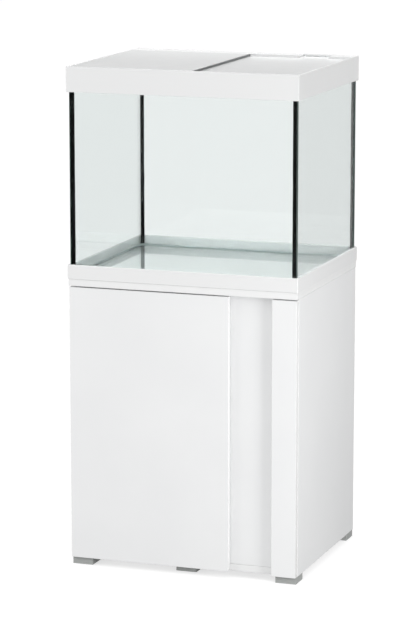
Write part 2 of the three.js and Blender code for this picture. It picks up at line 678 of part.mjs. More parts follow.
function hoseCovers() {
  const size = [NOTCH_WIDTH - 2 * LID_PLAY, NOTCH_BACK_Y - DECK_FRONT_Y - 2 * LID_PLAY, LID_THICKNESS];
  const covers = {
    hose_cover_left: [LEFT_NOTCH_X, LEFT_COVER_TOP],
    hose_cover_right: [RIGHT_NOTCH_X, RIGHT_COVER_TOP],
  };
  return Object.entries(covers).map(([name, [x, top]]) => {
    const place = [x + NOTCH_WIDTH / 2, (DECK_FRONT_Y + NOTCH_BACK_Y) / 2, top - LID_THICKNESS / 2];
    return part(name, 'plastic', new THREE.BoxGeometry(...size), place);
  });
}

function upperLid() {
  const across = [HOOD_WALL + LID_PLAY, LID_SEAM_X - GRIP_THICKNESS - GAP];
  const along = [HOOD_WALL + LID_PLAY, DECK_FRONT_Y - LID_PLAY];
  const bottom = UPPER_LID_TOP - LID_THICKNESS;
  const stripInset = UPPER_LEDGE + LID_PLAY;
  const stripAlong = [along[0] + stripInset, along[1] - stripInset];
  const stripHeight = [bottom - GRIP_DROP, UPPER_LID_TOP];
  const strip = block([LID_SEAM_X - GRIP_THICKNESS, LID_SEAM_X], stripAlong, stripHeight);
  return [
    part('lid_left', 'lid', block(across, along, [bottom, UPPER_LID_TOP])),
    part('lid_grip', 'strip', strip),
  ];
}

function lowerLid() {
  const across = [LID_SEAM_X - LID_OVERLAP, WIDTH - HOOD_WALL - LID_PLAY];
  const along = [TRACK_FRONT + LID_PLAY, TRACK_BACK - LID_PLAY];
  return part('lid_right', 'lid', block(across, along, [LOWER_LID_TOP - LID_THICKNESS, LOWER_LID_TOP]));
}

// ---- lamp bar -----------------------------------------------------------------------------------------

const LAMP_TOP = LAMP_BOTTOM + LAMP_HEIGHT;
const LAMP_BACK_Y = LAMP_FRONT_Y + LAMP_DEPTH;
const LAMP_LEFT = HOOD_WALL + LID_PLAY + LAMP_END_CAP + GAP;
const LAMP_RIGHT = WIDTH - LAMP_LEFT;
const LAMP_INNER_Y = [LAMP_FRONT_Y + LAMP_WALL + GAP, LAMP_BACK_Y - LAMP_WALL - GAP];

// A channel that is open below and at both ends.
function lampHousing() {
  const shell = block([LAMP_LEFT, LAMP_RIGHT], [LAMP_FRONT_Y, LAMP_BACK_Y], [LAMP_BOTTOM, LAMP_TOP]);
  const hollow = block(
    [LAMP_LEFT - OVERLAP, LAMP_RIGHT + OVERLAP],
    [LAMP_FRONT_Y + LAMP_WALL, LAMP_BACK_Y - LAMP_WALL],
    [LAMP_BOTTOM - OVERLAP, LAMP_TOP - LAMP_WALL],
  );
  return part('lamp_housing', 'aluminium', cut(shell, hollow));
}

function lampEndCaps() {
  const seat = GLASS_TOP + SEAT_THICKNESS + 2 * GAP;
  const sides = [LAMP_FRONT_Y - LAMP_CAP_MARGIN, LAMP_BACK_Y + LAMP_CAP_MARGIN];
  const height = LAMP_TOP + LAMP_CAP_MARGIN - seat;
  const shape = rectangle(new THREE.Shape(), 0, LAMP_END_CAP, ...sides);
  const ends = { left: HOOD_WALL + LID_PLAY, right: WIDTH - HOOD_WALL - LID_PLAY - LAMP_END_CAP };
  return Object.entries(ends).map(([end, x]) => {
    return part(`lamp_end_cap_${end}`, 'plastic', prism(shape, 0, height), [x, 0, seat]);
  });
}

// A hollow gland on the back of the right end cap, along +Y, with a hexagonal nut and a tapered nose.
function cableGland() {
  const profile = [
    [GLAND_BORE, 0], [GLAND_RADIUS, 0], [GLAND_RADIUS, GLAND_TAPER_START],
    [GLAND_BORE + OVERLAP, GLAND_LENGTH], [GLAND_BORE, GLAND_LENGTH], [GLAND_BORE, 0],
  ];
  const points = profile.map(([radius, along]) => new THREE.Vector2(radius, along));
  const body = new THREE.LatheGeometry(points, ROUND_SIDES);
  const nut = rod('y', [0, GLAND_NUT.start, 0], GLAND_NUT.length, GLAND_NUT.radius, HEX_SIDES);
  const bore = rod('y', [0, 0, 0], GLAND_LENGTH, GLAND_BORE, ROUND_SIDES);
  const capMiddleX = LAMP_RIGHT + LAMP_END_CAP / 2;
  const place = [capMiddleX, LAMP_BACK_Y + LAMP_CAP_MARGIN + GAP, LAMP_BOTTOM + LAMP_HEIGHT / 2];
  return part('cable_gland', 'strip', join(body, cut(nut, bore)), place);
}

function lampInsides() {
  const middle = (LAMP_FRONT_Y + LAMP_BACK_Y) / 2;
  const boardSides = [middle - DIODE_BOARD.depth / 2, middle + DIODE_BOARD.depth / 2];
  const boardTop = LAMP_TOP - LAMP_WALL - GAP;
  const inside = [LAMP_LEFT + GAP, LAMP_RIGHT - GAP];
  const diffuserHeight = [LAMP_BOTTOM, LAMP_BOTTOM + DIFFUSER_THICKNESS];
  return [
    part('lamp_diffuser', 'diffuser', block(inside, LAMP_INNER_Y, diffuserHeight)),
    part('diode_board', 'circuit', block(inside, boardSides, [boardTop - DIODE_BOARD.thickness, boardTop])),
  ];
}

// ---- assembly -----------------------------------------------------------------------------------------

function hingeParts(maker) {
  return Object.entries(HINGE_ROWS).map(([row, z]) => maker(row, z)).flat();
}

const cabinet = group(feet(), carcass(), shelfPins(), cams(), doorBuffers(), hingeParts(hingeOnBoard));
const doorLeaf = group(door(), hingeParts(hingeOnDoor));
const tank = group(baseFrame(), panes(), cornerJoints(), floorSilicone());
const lamp = group(lampHousing(), lampEndCaps(), lampInsides(), cableGland());
const hood = group(hoodFrame(), hoseCovers(), upperLid(), lowerLid(), lamp);

const aquarium = group(cabinet, doorLeaf, tank, hood);
aquarium.position.set(-WIDTH / 2, -DEPTH / 2, 0);

export default aquarium;
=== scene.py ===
import json
import math
import random

import bmesh
import bpy
from mathutils import Euler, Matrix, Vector


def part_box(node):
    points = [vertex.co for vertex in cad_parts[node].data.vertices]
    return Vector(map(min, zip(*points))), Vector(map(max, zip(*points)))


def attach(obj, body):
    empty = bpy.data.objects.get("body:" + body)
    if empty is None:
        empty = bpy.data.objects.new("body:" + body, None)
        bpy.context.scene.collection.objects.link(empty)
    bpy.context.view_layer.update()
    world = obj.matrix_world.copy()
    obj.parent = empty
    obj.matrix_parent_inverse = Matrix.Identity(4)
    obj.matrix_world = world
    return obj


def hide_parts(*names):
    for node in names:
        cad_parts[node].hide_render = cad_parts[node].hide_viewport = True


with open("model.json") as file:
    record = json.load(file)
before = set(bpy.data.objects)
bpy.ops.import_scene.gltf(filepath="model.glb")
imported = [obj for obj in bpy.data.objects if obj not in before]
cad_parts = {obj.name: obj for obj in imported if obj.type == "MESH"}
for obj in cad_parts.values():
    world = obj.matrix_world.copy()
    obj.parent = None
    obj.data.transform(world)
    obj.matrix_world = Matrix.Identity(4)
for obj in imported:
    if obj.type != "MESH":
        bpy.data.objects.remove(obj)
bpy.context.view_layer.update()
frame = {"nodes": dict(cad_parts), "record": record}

MM = 0.001
BASE, DOOR, UPPER_LID, LOWER_LID = "base", "door_leaf", "upper_lid", "lower_lid"

# Clearances and sections that the CAD parts were drawn with
GAP = 0.3 * MM
LID_PLAY = 0.5 * MM
HOOD_WALL = 4 * MM
LEDGE = 4 * MM
LOWER_LEDGE_WIDTH = 7 * MM
SEAT_INNER = 17 * MM
SEAT_THICKNESS = 3 * MM
WEB = 3 * MM
NOTCH_SEAT = 4 * MM
FRAME_WALL = 5.6 * MM
FRAME_FLANGE = 3 * MM
FRAME_FLANGE_INNER = 30 * MM
GLASS = 8 * MM
JOINT = 1.2 * MM
BEADS = {"front": 4.5 * MM, "back": 8 * MM, "floor": 3 * MM}
BOND_GAP = 0.1 * MM

# Bores in the boards as (radius, depth, sides), and how far each starts outside the face
PIN_BORE = (2.6 * MM, 8.3 * MM, 20)
PIN_ROW_PITCH = 32 * MM
CAM_BORE = (7.6 * MM, 11.3 * MM, 40)
SCREW_BORE = (2.1 * MM, 12.3 * MM, 16)
CUP_BORE = (17.5 * MM, 12.5 * MM, 64)
BORE_START = 1 * MM

# Cut-outs of the back board: the hose slot's edge lies this far outside its stated opening
HOSE_SLOT_MARGIN = 8.5 * MM
HOSE_SLOT_CORNER = 27.5 * MM
CABLE_HOLE_RADIUS = 32 * MM

# Edges are shaded sharp above this angle, in degrees, unless a piece says otherwise
SHARP_ANGLE = 40

# Camera: the place and angles that show the object as a standing person sees it from some way off
CAMERA_PLACE = (2.3915, -6.8296, 2.0149)
CAMERA_AZIMUTH = 19.44
CAMERA_TILT = 10.81
CAMERA_LENS = 164.8
CAMERA_SENSOR = 36

# Studio: the floor's corners as (across, along) the camera's direction, and its own glow
FLOOR_CORNERS = ((-0.75, -0.95), (0.75, -0.95), (2.4, 18.5), (-2.4, 18.5))
FLOOR_GLOW = 0.59
FLOOR_COLOUR = 0.5

# The world as a light: its strength all round, what each side adds, and how much stronger it is for scattered
# light that passes a pane, which stops the soft boxes
WORLD_BASE = 0.3
THROUGH_GLASS = 7.0
WORLD_AXES = {
    "front_top": (0, -0.8, 0.6), "left": (-1, 0, 0), "back": (0, 1, 0), "top": (0, 0, 1),
}
WORLD_SIDES = {"front_top": 0.66, "left": 0.2, "back": 0.1, "top": 0.12}

# The world as mirrored: the axis it is bright along, the start and end of the rise, the darkest and brightest
# value, and the share that is left outside the glass
MIRRORED_AXIS = (-0.35, 0.94, 0)
MIRRORED_TURN = (0.45, 1.0)
MIRRORED_RANGE = (0.04, 1.1)
MIRRORED_OUTSIDE = 0.3

# Soft boxes as (place, what it points at, size, watts)
SOFT_BOXES = {
    "right_box": ((1.75, -0.85, 0.6), (0.3, 0.05, 0.55), (0.6, 0.6), 16),
    "left_box": ((-2.4, -1.6, 1.0), (-0.3, 0, 0.6), (1.2, 1.6), 14),
    "rear_top_box": ((0.0, 0.6, 1.65), (0, 0.2, 1.28), (1.4, 0.15), 5.2),
}


# ---- materials ----------------------------------------------------------------------------------------

class Look:
    """A node material around one Principled shader. Textures run in the object's own metres."""

    def __init__(self, name, **settings):
        self.material = bpy.data.materials.new(name)
        self.material.use_nodes = True
        self.nodes = self.material.node_tree.nodes
        self.links = self.material.node_tree.links
        self.shader = self.nodes["Principled BSDF"]
        self.coordinates = self.nodes.new("ShaderNodeTexCoord")
        for socket, value in settings.items():
            self.shader.inputs[socket.replace("_", " ").title().replace("Ior", "IOR")].default_value = value

    def noise(self, scale, detail=3.0, stretch=(1, 1, 1)):
        """Fractal noise from 0 to 1. Features are about 1/scale metres, drawn out where stretch is low."""
        mapping = self.nodes.new("ShaderNodeMapping")
        mapping.inputs["Scale"].default_value = stretch
        texture = self.nodes.new("ShaderNodeTexNoise")
        texture.inputs["Scale"].default_value = scale
        texture.inputs["Detail"].default_value = detail
        self.links.new(self.coordinates.outputs["Object"], mapping.inputs["Vector"])
        self.links.new(mapping.outputs["Vector"], texture.inputs["Vector"])
        return texture.outputs["Fac"]

    def spread(self, value, low, high, start=0.3, end=0.7):
        """value from start..end stretched to low..high."""
        node = self.nodes.new("ShaderNodeMapRange")
        for socket, number in (("From Min", start), ("From Max", end), ("To Min", low), ("To Max", high)):
            node.inputs[socket].default_value = number
        self.links.new(value, node.inputs["Value"])
        return node.outputs["Result"]

    def mix(self, factor, first, second):
        node = self.nodes.new("ShaderNodeMix")
        node.data_type = "RGBA"
        node.inputs["A"].default_value = (*first, 1)
        node.inputs["B"].default_value = (*second, 1)
        self.links.new(factor, node.inputs["Factor"])
        return node.outputs["Result"]

    def math(self, operation, first, second):
        node = self.nodes.new("ShaderNodeMath")
        node.operation = operation
        for socket, value in zip(node.inputs, (first, second)):
            if isinstance(value, (int, float)):
                socket.default_value = value
            else:
                self.links.new(value, socket)
        return node.outputs["Value"]

    def colour(self, factor, first, second):
        self.links.new(self.mix(factor, first, second), self.shader.inputs["Base Color"])

    def roughness(self, value):
        self.links.new(value, self.shader.inputs["Roughness"])

    def bump(self, *layers):
        """Layers of (height from 0 to 1, depth in metres), one on top of the other."""
        below = None
        for height, depth in layers:
            node = self.nodes.new("ShaderNodeBump")
            node.inputs["Distance"].default_value = depth
            self.links.new(height, node.inputs["Height"])
            if below is not None:
                self.links.new(below, node.inputs["Normal"])
            below = node.outputs["Normal"]
        self.links.new(below, self.shader.inputs["Normal"])


def coated_board():
    """White melamine face: a fine pearl texture under a satin coat, with faint wipe marks."""
    look = Look("coated_board", specular_ior_level=0.5)
    look.colour(look.spread(look.noise(5), 0, 1), (0.835, 0.84, 0.845), (0.86, 0.865, 0.868))
    wipes = look.noise(9, 4, stretch=(1, 1, 0.25))
    look.roughness(look.spread(wipes, 0.3, 0.36))
    look.bump((look.noise(260, 1), 0.006 * MM), (look.noise(1100, 0), 0.0015 * MM))
    return look.material


def edge_band():
    """Plastic edge band: smoother and a little brighter than the face, with fine lines along its length."""
    look = Look("edge_band")
    look.colour(look.spread(look.noise(30), 0, 1), (0.845, 0.85, 0.85), (0.865, 0.869, 0.867))
    look.roughness(look.spread(look.noise(60, 3), 0.25, 0.27))
    look.bump((look.noise(500, 1, stretch=(1, 1, 0.03)), 0.001 * MM))
    return look.material


def chipboard():
    """Raw board inside a drilled hole."""
    look = Look("chipboard")
    look.colour(look.spread(look.noise(700, 4), 0, 1), (0.33, 0.23, 0.14), (0.62, 0.49, 0.33))
    look.roughness(look.spread(look.noise(900, 2), 0.7, 0.95))
    look.bump((look.noise(800, 4), 0.25 * MM))
    return look.material


def moulded_plastic(name, light, dark, rough, flow=(1, 1, 1)):
    """Injection-moulded gloss plastic: faint flow variation, light orange peel and fine handling marks."""
    look = Look(name)
    look.colour(look.spread(look.noise(4, 2, stretch=flow), 0, 1), dark, light)
    scuffs = look.noise(35, 5, stretch=(1, 3, 1))
    look.roughness(look.spread(scuffs, rough * 0.96, rough * 1.05))
    look.bump((look.noise(45, 0), 0.0025 * MM), (look.noise(900, 0), 0.0006 * MM))
    return look.material


# Dark grey plastic: the cable gland's own colour, and on the upper lid's edge strip a painted shade for the
# gap between the lids.
def gland_and_shade_strip_plastic():
    look = Look("gland_and_shade_strip_plastic")
    look.colour(look.spread(look.noise(200), 0, 1), (0.17, 0.178, 0.18), (0.2, 0.208, 0.21))
    look.roughness(look.spread(look.noise(500, 2), 0.42, 0.58))
    look.bump((look.noise(1100, 2), 0.03 * MM))
    return look.material


def tank_glass():
    """Float glass, slightly green in its body, with a barely wavy surface and a few faint wipe marks."""
    look = Look("tank_glass", transmission_weight=1.0, ior=1.5)
    look.shader.inputs["Base Color"].default_value = (0.99, 1.0, 0.997, 1)
    look.roughness(look.spread(look.noise(14, 3, stretch=(1, 1, 0.4)), 0.0, 0.012, 0.55, 0.8))
    look.bump((look.noise(3, 1), 0.02 * MM))
    absorb = look.nodes.new("ShaderNodeVolumeAbsorption")
    absorb.inputs["Color"].default_value = (0.45, 0.75, 0.72, 1)
    absorb.inputs["Density"].default_value = 6.0
    look.links.new(absorb.outputs["Volume"], look.nodes["Material Output"].inputs["Volume"])
    return look.material


def ground_edge():
    """The ground edge of a pane: dark green, and satin from the grinding belt."""
    look = Look("ground_glass_edge", specular_ior_level=0.5)
    look.colour(look.spread(look.noise(400, 3), 0, 1), (0.030, 0.055, 0.048), (0.050, 0.082, 0.072))
    look.roughness(look.spread(look.noise(900, 2), 0.32, 0.5))
    look.bump((look.noise(1400, 1), 0.01 * MM))
    return look.material


def clear_silicone():
    """Translucent sealing bead."""
    look = Look("clear_silicone", transmission_weight=0.7, ior=1.41)
    look.colour(look.spread(look.noise(90, 3), 0, 1), (0.60, 0.68, 0.67), (0.70, 0.77, 0.76))
    look.roughness(look.spread(look.noise(120, 3), 0.25, 0.45))
    look.bump((look.noise(110, 2), 0.05 * MM))
    return look.material


def black_silicone():
    look = Look("black_silicone", ior=1.41)
    look.colour(look.spread(look.noise(80, 3), 0, 1), (0.0015, 0.002, 0.002), (0.0032, 0.0038, 0.0038))
    look.roughness(look.spread(look.noise(60, 3, stretch=(1, 1, 0.15)), 0.3, 0.5))
    look.bump((look.noise(90, 2, stretch=(1, 1, 0.12)), 0.08 * MM))
    return look.material


def brushed(name, light, dark, rough, along="X", anisotropy=0.5, metallic=1.0):
    """Brushed metal with its scratches along one axis."""
    stretch = {"X": (0.02, 1, 1), "Y": (1, 0.02, 1), "Z": (1, 1, 0.02), "XY": (0.05, 0.05, 1)}[along]
    look = Look(name, metallic=metallic, anisotropic=anisotropy)
    scratches = look.noise(2600, 4, stretch=stretch)
    look.colour(look.spread(look.noise(1200, 4, stretch=stretch), 0, 1), dark, light)
    look.roughness(look.spread(scratches, rough * 0.75, rough * 1.3))
    look.bump((scratches, 0.02 * MM))
    return look.material


def frosted():
    look = Look("frosted_diffuser", transmission_weight=0.35, ior=1.49)
    look.colour(look.spread(look.noise(40), 0, 1), (0.86, 0.89, 0.9), (0.92, 0.94, 0.95))
    look.roughness(look.spread(look.noise(900, 2), 0.5, 0.65))
    look.bump((look.noise(1500, 1), 0.03 * MM))
    return look.material


def solder_mask():
    look = Look("solder_mask")
    look.colour(look.spread(look.noise(300, 2), 0, 1), (0.82, 0.84, 0.84), (0.88, 0.89, 0.89))
    look.roughness(look.spread(look.noise(700, 2), 0.35, 0.5))
    look.bump((look.noise(2000, 2), 0.01 * MM))
    return look.material


def diode_lens():
    look = Look("diode_lens", coat_weight=0.4)
    look.colour(look.spread(look.noise(2500, 2), 0, 1), (0.86, 0.7, 0.22), (0.95, 0.82, 0.35))
    look.roughness(look.spread(look.noise(1800, 2), 0.25, 0.4))
    look.bump((look.noise(2600, 1), 0.02 * MM))
    return look.material


def soft_buffer():
    look = Look("soft_buffer", transmission_weight=0.6, ior=1.45)
    look.colour(look.spread(look.noise(600, 2), 0, 1), (0.8, 0.82, 0.83), (0.88, 0.9, 0.9))
    look.roughness(look.spread(look.noise(1200, 2), 0.2, 0.35))
    look.bump((look.noise(900, 2), 0.03 * MM))
    return look.material


FACE, BAND, RAW = coated_board(), edge_band(), chipboard()
BOARD_LOOKS = [FACE, BAND, RAW]
WHITE_PLASTIC = moulded_plastic(
    "white_plastic", (0.835, 0.838, 0.838), (0.815, 0.819, 0.82), 0.26, flow=(0.3, 1, 2))
LID_PLASTIC = moulded_plastic(
    "lid_plastic", (0.83, 0.836, 0.837), (0.81, 0.817, 0.819), 0.2, flow=(1, 0.3, 1))
GLAND_AND_SHADE_STRIP = gland_and_shade_strip_plastic()
GLASS_LOOKS = [tank_glass(), ground_edge()]
SILICONE, CLEAR_SILICONE = black_silicone(), clear_silicone()
FOOT_METAL = brushed(
    "foot_aluminium", (0.47, 0.485, 0.475), (0.41, 0.422, 0.412), 0.45, along="XY", metallic=0.1)
LAMP_METAL = brushed("lamp_aluminium", (0.8, 0.81, 0.82), (0.7, 0.71, 0.72), 0.35, along="X")
STEEL = brushed("nickel_steel", (0.72, 0.71, 0.69), (0.6, 0.59, 0.57), 0.24, along="Y", anisotropy=0.2)
DIFFUSER, MASK, LENS, BUFFER = frosted(), solder_mask(), diode_lens(), soft_buffer()


# ---- mesh tools ---------------------------------------------------------------------------------------

def mark_sharp(mesh, angle):
    """Shades a bmesh smooth, apart from its edges over an angle in degrees."""
    for face in mesh.faces:
        face.smooth = True
    for edge in mesh.edges:
        edge.smooth = edge.calc_face_angle(0) < math.radians(angle)


def piece(name, mesh, looks, body, slot, *replaced, sharp=SHARP_ANGLE):
    """Turns a bmesh into a named piece with soft edges below the sharp angle, riding on a body."""
    bmesh.ops.recalc_face_normals(mesh, faces=mesh.faces)
    mark_sharp(mesh, sharp)
    data = bpy.data.meshes.new(name)
    mesh.to_mesh(data)
    mesh.free()
    for look in looks:
        data.materials.append(look)
    made = bpy.data.objects.new(name, data)
    bpy.context.scene.collection.objects.link(made)
    weighted = made.modifiers.new("Face weighted normals", "WEIGHTED_NORMAL")
    weighted.keep_sharp = True
    weighted.weight = 100
    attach(made, body)
    if replaced:
        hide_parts(*replaced)
    return made


def add_box(mesh, low, high, bevel=0.0, segments=3):
    """Adds a box with rounded edges, and returns its faces."""
    low, high = Vector(low), Vector(high)
    before = set(mesh.faces)
    corners = bmesh.ops.create_cube(mesh, size=1)["verts"]
    for corner in corners:
        share = corner.co + Vector((0.5, 0.5, 0.5))
        corner.co = Vector(low[i] + share[i] * (high[i] - low[i]) for i in range(3))
    if bevel > 0:
        edges = list({edge for corner in corners for edge in corner.link_edges})
        bmesh.ops.bevel(mesh, geom=edges, offset=bevel, segments=segments, profile=0.5, affect="EDGES")
    return [face for face in mesh.faces if face not in before]


def add_rod(mesh, start, end, radius, sides=32):
    """Adds a closed cylinder between two points, and returns its faces."""
    start, end = Vector(start), Vector(end)
    before = set(mesh.faces)
    made = bmesh.ops.create_cone(
        mesh, cap_ends=True, segments=sides, radius1=radius, radius2=radius, depth=(end - start).length)
    turn = (end - start).to_track_quat("Z", "Y").to_matrix().to_4x4()
    turn.translation = (start + end) / 2
    bmesh.ops.transform(mesh, matrix=turn, verts=made["verts"])
    return [face for face in mesh.faces if face not in before]


def rounded(outline, steps=3):
    """A closed outline of (u, v, radius) corners, each turned into an arc of its radius."""
    points = []
    for index, (u, v, radius) in enumerate(outline):
        corner = Vector((u, v))
        if radius <= 0:
            points.append(corner)
            continue
        before = (Vector(outline[index - 1][:2]) - corner).normalized()
        after = (Vector(outline[(index + 1) % len(outline)][:2]) - corner).normalized()
        half = before.angle(after) / 2
        centre = corner + (before + after).normalized() * radius / math.sin(half)
        first = (corner + before * radius / math.tan(half) - centre).normalized()
        last = (corner + after * radius / math.tan(half) - centre).normalized()
        points += [centre + radius * first.slerp(last, step / steps) for step in range(steps + 1)]
    return points


def add_bar(mesh, outline, axis, start, end):
    """Extrudes a closed outline along X, Y or Z. The outline is in the other two axes, in XYZ order."""
    def place(point, along):
        values = list(point)
        values.insert("XYZ".index(axis), along)
        return mesh.verts.new(values)

    before = set(mesh.faces)
    near = [place(point, start) for point in outline]
    far = [place(point, end) for point in outline]
    count = len(outline)
    for i in range(count):
        mesh.faces.new((near[i], near[(i + 1) % count], far[(i + 1) % count], far[i]))
    mesh.faces.new(near)
    mesh.faces.new(far)
    return [face for face in mesh.faces if face not in before]


def add_ring(mesh, outline, low, high, radius, steps=5, closed=True):
    """Sweeps an outline of (inset, z) points round a rectangle whose outer corners have the given radius.
    An outline that isn't closed is capped at its first and last point."""
    rings = []
    for inset, z in outline:
        turn = max(radius - inset, 0.15 * MM)
        ring = []
        for quarter, (side_x, side_y) in enumerate(((1, 1), (-1, 1), (-1, -1), (1, -1))):
            centre_x = (high[0] - inset - turn) if side_x > 0 else (low[0] + inset + turn)
            centre_y = (high[1] - inset - turn) if side_y > 0 else (low[1] + inset + turn)
            for step in range(steps + 1):
                angle = math.radians(90 * (quarter + step / steps))
                place = (centre_x + turn * math.cos(angle), centre_y + turn * math.sin(angle), z)
                ring.append(mesh.verts.new(place))
        rings.append(ring)
    pairs = list(zip(rings, rings[1:]))
    if closed:
        pairs.append((rings[-1], rings[0]))
    else:
        mesh.faces.new(rings[0])
        mesh.faces.new(rings[-1])
    count = len(rings[0])
    for inner, outer in pairs:
        for i in range(count):
            mesh.faces.new((inner[i], inner[(i + 1) % count], outer[(i + 1) % count], outer[i]))


def carve(made, cutter_mesh):
    """Cuts a closed bmesh out of a piece. The cut's own walls take the piece's last material."""
    for face in cutter_mesh.faces:
        face.material_index = len(made.data.materials) - 1
    bmesh.ops.recalc_face_normals(cutter_mesh, faces=cutter_mesh.faces)
    data = bpy.data.meshes.new("cutter")
    cutter_mesh.to_mesh(data)
    cutter_mesh.free()
    cutter = bpy.data.objects.new("cutter", data)
    bpy.context.scene.collection.objects.link(cutter)
    modifiers = list(made.modifiers)
    for modifier in modifiers:
        modifier.show_viewport = False
    boolean = made.modifiers.new("Cut", "BOOLEAN")
    boolean.operation = "DIFFERENCE"
    boolean.solver = "EXACT"
    boolean.object = cutter
    evaluated = made.evaluated_get(bpy.context.evaluated_depsgraph_get())
    result = bpy.data.meshes.new_from_object(evaluated)
    made.modifiers.remove(boolean)
    for modifier in modifiers:
        modifier.show_viewport = True
    shaded = bmesh.new()
    shaded.from_mesh(result)
    mark_sharp(shaded, SHARP_ANGLE)
    shaded.to_mesh(result)
    shaded.free()
    old = made.data
    made.data = result
    result.name = made.name
    bpy.data.meshes.remove(old)
    bpy.data.objects.remove(cutter)
    bpy.data.meshes.remove(data)


def dress(node, look, bevel=0.0):
    """Gives a CAD node its material, and rounds its edges a little."""
    part = frame["nodes"][node]
    part.data.materials.clear()
    part.data.materials.append(look)
    if bevel > 0:
        soft = part.modifiers.new("Soft edges", "BEVEL")
        soft.width = bevel
        soft.segments = 2
        soft.limit_method = "ANGLE"
        soft.angle_limit = math.radians(50)


# ---- cabinet ------------------------------------------------------------------------------------------

def board(node, axis, body=BASE, bevel=1.0 * MM):
    """A coated board: faces across axis are coated, the narrow sides and rounded edges are edge band."""
    low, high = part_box(node)
    mesh = bmesh.new()
    index = "XYZ".index(axis)
    for face in add_box(mesh, low, high, bevel):
        face.material_index = 0 if abs(face.normal[index]) > 0.99 else 1
    return piece(f"{node}_finished", mesh, BOARD_LOOKS, body, "white_board", node)


def bore(mesh, at, outwards, size):
    """Adds the cutter of a bore at a point on a face. outwards is the face's own direction."""
    radius, depth, sides = size
    outwards = Vector(outwards)
    add_rod(mesh, at + outwards * BORE_START, at - outwards * depth, radius, sides)


def side_board_holes(side):
    """Drilled rows for shelf pins and seats for the cams, on the inner face of a side board."""
    low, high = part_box(f"{side}_side_board")
    face = high.x if side == "left" else low.x
    out = 1 if side == "left" else -1
    mesh = bmesh.new()
    for row in ("front", "back"):
        pin_low, pin_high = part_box(f"shelf_pin_{row}_{side}")
        centre = (pin_low + pin_high) / 2
        for step in range(-2, 3):
            bore(mesh, Vector((face, centre.y, centre.z + step * PIN_ROW_PITCH)), (out, 0, 0), PIN_BORE)
        cam_low, cam_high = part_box(f"cam_{row}_{side}")
        centre = (cam_low + cam_high) / 2
        bore(mesh, Vector((face, centre.y, centre.z)), (out, 0, 0), CAM_BORE)
    if side == "left":
        for row in ("bottom", "top"):
            for end in ("lower", "upper"):
                screw_low, screw_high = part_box(f"hinge_screw_{row}_{end}")
                centre = (screw_low + screw_high) / 2
                bore(mesh, Vector((face, centre.y, centre.z)), (1, 0, 0), SCREW_BORE)
    return mesh


def door_bores():
    mesh = bmesh.new()
    _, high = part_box("door")
    for row in ("bottom", "top"):
        cup_low, cup_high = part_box(f"hinge_cup_{row}")
        centre = (cup_low + cup_high) / 2
        bore(mesh, Vector((centre.x, high.y, centre.z)), (0, 1, 0), CUP_BORE)
    return mesh


def back_cutouts():
    """The hose slot with rounded corners, and the round cable hole."""
    low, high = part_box("back_board")
    openings = {o["name"]: o["box_m"] for o in frame["record"]["physics"]["openings"]}
    mesh = bmesh.new()
    (x0, _, z0), (x1, _, z1) = openings["back_hose_cutout"]
    margin = HOSE_SLOT_MARGIN
    sides = (x0 - margin, x1 + margin, z0 - margin, z1 + margin)
    corners = [(sides[0], sides[2]), (sides[1], sides[2]), (sides[1], sides[3]), (sides[0], sides[3])]
    outline = rounded([(x, z, HOSE_SLOT_CORNER) for x, z in corners], steps=10)
    add_bar(mesh, outline, "Y", low.y - MM, high.y + MM)
    (x0, _, z0), (x1, _, z1) = openings["back_cable_cutout"]
    centre = Vector(((x0 + x1) / 2, 0, (z0 + z1) / 2))
    start, end = centre + Vector((0, low.y - MM, 0)), centre + Vector((0, high.y + MM, 0))
    add_rod(mesh, start, end, CABLE_HOLE_RADIUS, 64)
    return mesh


def cabinet():
    for node in ("top_board", "bottom_board", "shelf"):
        board(node, "Z")
    for node in ("niche_board", "front_pillar"):
        board(node, "Y")
    for side in ("left", "right"):
        carve(board(f"{side}_side_board", "X"), side_board_holes(side))
    carve(board("back_board", "Y", bevel=0.4 * MM), back_cutouts())
    carve(board("door", "Y", DOOR), door_bores())


def foot(node):
    """A block foot: four horizontal ribs with rounded crests, and slightly rounded corners."""
    low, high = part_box(node)
    ribs, groove = 4, 0.55 * MM
    height = high.z - low.z
    outline = [(2 * MM, low.z), (0.5 * MM, low.z), (0, low.z + 0.5 * MM)]
    for rib in range(1, ribs):
        middle = low.z + rib * height / ribs
        outline += [(0, middle - 0.9 * MM), (groove, middle - 0.35 * MM)]
        outline += [(groove, middle + 0.35 * MM), (0, middle + 0.9 * MM)]
    outline += [(0, high.z - 0.5 * MM), (0.5 * MM, high.z), (2 * MM, high.z)]
    mesh = bmesh.new()
    add_ring(mesh, outline, low, high, 1.2 * MM, steps=4, closed=False)
    piece(f"{node}_finished", mesh, [FOOT_METAL], BASE, "foot_aluminium", node, sharp=30)


# ---- tank ---------------------------------------------------------------------------------------------

def pane(node, axis):
    """A sheet of float glass with chamfered, ground edges. axis runs through its thickness."""
    low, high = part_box(node)
    mesh = bmesh.new()
    index = "XYZ".index(axis)
    for face in add_box(mesh, low, high, 0.6 * MM, segments=1):
        face.material_index = 0 if abs(face.normal[index]) > 0.99 else 1
    piece(f"{node}_finished", mesh, GLASS_LOOKS, BASE, "glass", node, sharp=20)


def fillet_outline(start, bead, end):
    """Concave quarter arc from (start + bead, start) to (start, start + bead), as points."""
    centre = start + bead
    steps = 7
    angles = [math.radians(270 - 90 * step / steps) for step in range(steps + 1)]
    return [(centre + bead * math.cos(a), centre + bead * math.sin(a)) for a in angles] + [(start, end)]


